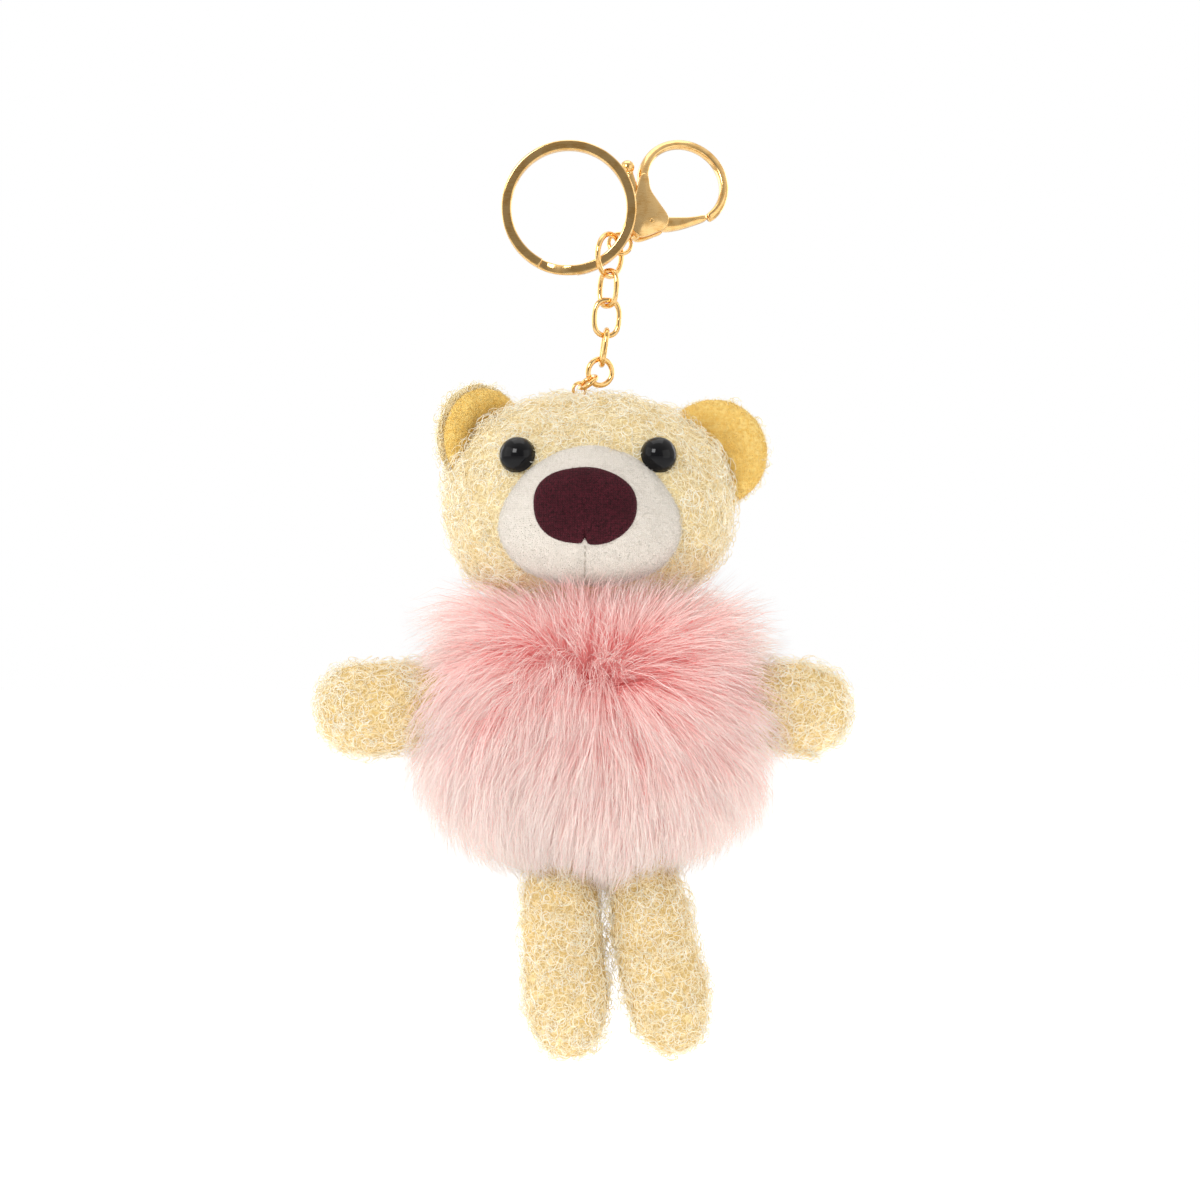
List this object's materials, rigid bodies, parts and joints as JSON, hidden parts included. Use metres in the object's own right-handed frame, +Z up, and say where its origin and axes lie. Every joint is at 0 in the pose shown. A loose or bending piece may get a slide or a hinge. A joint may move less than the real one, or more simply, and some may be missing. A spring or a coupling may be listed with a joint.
{
  "type": "plush keychain",
  "caption": "Plush bear key chain: stuffed bear with a round faux-fur body, hung by a short link chain from a split ring and a swivel snap clasp.",
  "frame": {"origin": "centre of the split ring, where a key or a hook holds it", "axes": "+Z up, as the bear hangs; the bear faces -Y; +Y along the split ring's axis; +X to the viewer's right"},
  "size_m": [0.1178, 0.0655, 0.2057],
  "materials": {
    "gold": "polished, thin gold plate",
    "spring_steel": "bright wire",
    "cream_boucle": "curly looped pile",
    "golden_velour": "short soft pile",
    "white_pile": "short brushed pile",
    "nose_velour": "short dense pile",
    "pink_fur": "long soft faux fur",
    "bead_black": "polished",
    "washer_plastic": "moulded",
    "filling": "loose polyester fibre",
    "thread": "twisted sewing thread"
  },
  "bodies": {
    "key_ring": {"split_ring": "gold"},
    "connector": {"connector_ring": "gold"},
    "swivel": {"swivel_eye": "gold"},
    "clasp": {"clasp_body": "gold", "gate_pin": "gold", "gate_spring": "spring_steel"},
    "gate": {"clasp_gate": "gold"},
    "link_1": {"chain_link_1": "gold"},
    "link_2": {"chain_link_2": "gold"},
    "link_3": {"chain_link_3": "gold"},
    "link_4": {"chain_link_4": "gold"},
    "head": {"head_ring": "gold", "hanging_loop": "thread", "head_cover": "cream_boucle", "head_stuffing": "filling", "muzzle_cover": "white_pile", "muzzle_stuffing": "filling", "muzzle_seam": "thread", "nose": "nose_velour", "eye_left": "bead_black", "eye_right": "bead_black", "eye_washer_left": "washer_plastic", "eye_washer_right": "washer_plastic", "ear_back_left": "cream_boucle", "ear_back_right": "cream_boucle", "ear_lining_left": "golden_velour", "ear_lining_right": "golden_velour"},
    "torso": {"fur_cover": "pink_fur", "body_stuffing": "filling", "neck_seam": "thread"},
    "arm_left": {"arm_cover_left": "cream_boucle", "arm_stuffing_left": "filling"},
    "arm_right": {"arm_cover_right": "cream_boucle", "arm_stuffing_right": "filling"},
    "leg_left": {"leg_cover_left": "cream_boucle", "leg_stuffing_left": "filling"},
    "leg_right": {"leg_cover_right": "cream_boucle", "leg_stuffing_right": "filling"}
  },
  "joints": [
    {"name": "connector_swing", "type": "hinge", "parent": "key_ring", "child": "connector", "pos_m": [0.00903, 0, -0.01057], "axis": [0.7604, 0, 0.6494], "range_deg": [-22, 22]},
    {"name": "clasp_eye_swing", "type": "hinge", "parent": "connector", "child": "swivel", "pos_m": [0.01135, 0.0033, -0.00806], "axis": [0.2666, 0.4393, -0.8579], "range_deg": [-20, 3]},
    {"name": "clasp_swivel", "type": "hinge", "parent": "swivel", "child": "clasp", "pos_m": [0.01135, 0.0036, -0.00756], "axis": [0.6556, 0.3746, 0.6556], "continuous": true},
    {"name": "gate_open", "type": "hinge", "parent": "clasp", "child": "gate", "pos_m": [0.01803, 0.0069, -0.00271], "axis": [0.2649, -0.9272, 0.2649], "range_deg": [0, 25], "stiffness_Nm_per_rad": 0.02, "springref_deg": -11.46, "deforming": ["gate_spring"]},
    {"name": "link_1_swing", "type": "hinge", "parent": "connector", "child": "link_1", "pos_m": [0.00887, 0, -0.01517], "axis": [0.5589, 0.829, -0.0195], "range_deg": [-23, 23]},
    {"name": "link_2_swing", "type": "hinge", "parent": "link_1", "child": "link_2", "pos_m": [0.00852, 0, -0.02176], "axis": [0.6419, -0.766, -0.0336], "range_deg": [-25, 25]},
    {"name": "link_3_swing", "type": "hinge", "parent": "link_2", "child": "link_3", "pos_m": [0.00818, 0, -0.02835], "axis": [0.9768, 0.2079, -0.0512], "range_deg": [-25, 25]},
    {"name": "link_4_swing", "type": "hinge", "parent": "link_3", "child": "link_4", "pos_m": [0.00726, 0, -0.03488], "axis": [-0.0863, 0.9962, 0.0121], "range_deg": [-25, 25]},
    {"name": "head_swing", "type": "hinge", "parent": "link_4", "child": "head", "pos_m": [0.00481, -0.00079, -0.03827], "axis": [0.5455, 0.3237, -0.7731], "range_deg": [-20, 20]},
    {"name": "neck_bend", "type": "hinge", "parent": "head", "child": "torso", "pos_m": [0.0043, 0, -0.0886], "axis": [1, 0, 0], "range_deg": [-10, 10], "stiffness_Nm_per_rad": 0.05},
    {"name": "arm_left_lift", "type": "hinge", "parent": "torso", "child": "arm_left", "pos_m": [-0.0196, 0, -0.11], "axis": [0, 1, 0], "range_deg": [-20, 20], "stiffness_Nm_per_rad": 0.02},
    {"name": "arm_right_lift", "type": "hinge", "parent": "torso", "child": "arm_right", "pos_m": [0.0262, 0, -0.11], "axis": [0, 1, 0], "range_deg": [-20, 20], "stiffness_Nm_per_rad": 0.02},
    {"name": "leg_left_swing", "type": "hinge", "parent": "torso", "child": "leg_left", "pos_m": [-0.0029, 0, -0.1372], "axis": [1, 0, 0], "range_deg": [-25, 25], "stiffness_Nm_per_rad": 0.02},
    {"name": "leg_right_swing", "type": "hinge", "parent": "torso", "child": "leg_right", "pos_m": [0.0136, 0, -0.1372], "axis": [1, 0, 0], "range_deg": [-25, 25], "stiffness_Nm_per_rad": 0.02}
  ]
}
